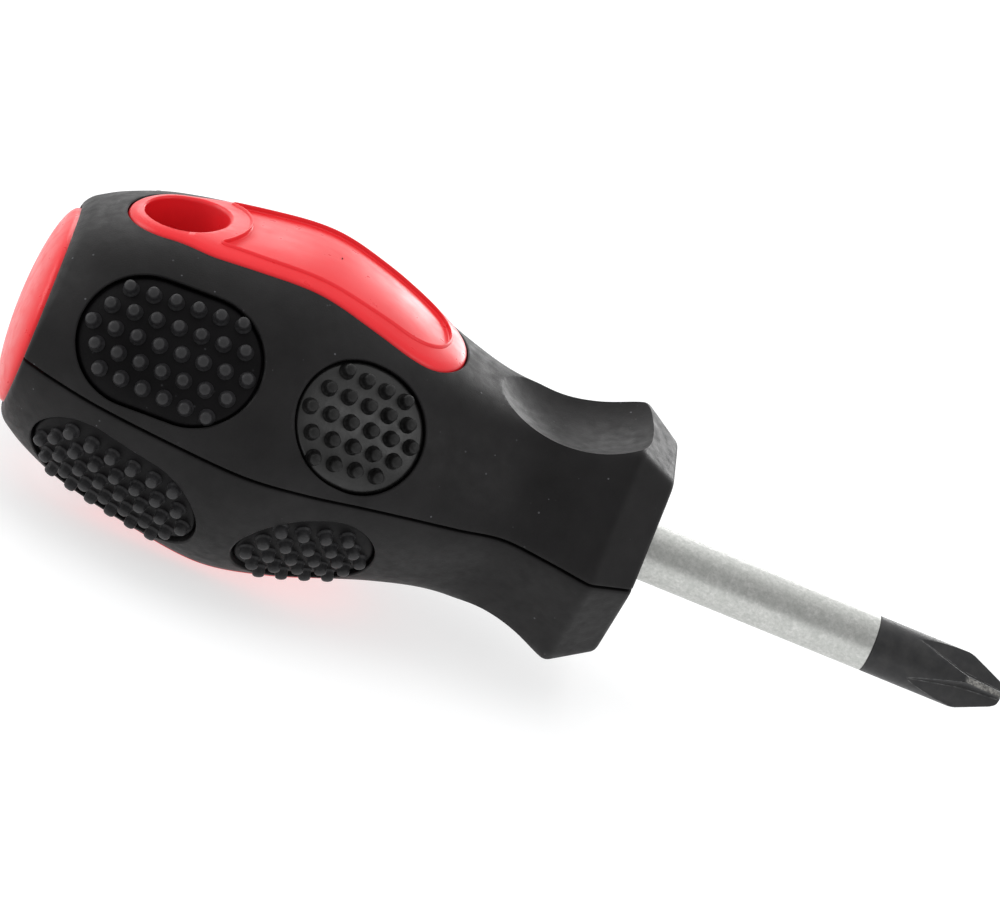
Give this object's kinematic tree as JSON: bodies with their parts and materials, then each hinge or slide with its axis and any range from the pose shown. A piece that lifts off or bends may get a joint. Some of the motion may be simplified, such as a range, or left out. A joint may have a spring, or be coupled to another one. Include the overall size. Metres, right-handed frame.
{
  "type": "stubby cross-point screwdriver",
  "caption": "Stubby cross-point screwdriver: short round blade, two-tone handle with soft black halves, studded pads, thumb scoops and a hanging hole.",
  "frame": {"origin": "middle of the flat end of the blade's tip", "axes": "+X along the tool from the handle to the tip, the way it drives; +Z out through the upper red panel, along the hanging hole; +Y to the side, in the plane of the seam between the two soft halves"},
  "size_m": [0.1014, 0.0376, 0.0324],
  "materials": {
    "satin_chrome": "satin plated, fine grain",
    "blackened_steel": "matt black oxide",
    "red_plastic": "smooth moulded, semi-gloss",
    "black_grip": "fine matt soft-touch",
    "black_pad": "matt, studded"
  },
  "bodies": {
    "root": {"shank": "satin_chrome", "blade_tip": "blackened_steel", "handle_core": "red_plastic", "end_cap": "red_plastic", "grip_upper": "black_grip", "grip_lower": "black_grip", "oval_pad_upper_right": "black_pad", "oval_pad_upper_left": "black_pad", "oval_pad_lower_right": "black_pad", "oval_pad_lower_left": "black_pad", "round_pad_upper_right": "black_pad", "round_pad_upper_left": "black_pad", "round_pad_lower_right": "black_pad", "round_pad_lower_left": "black_pad"}
  },
  "joints": []
}
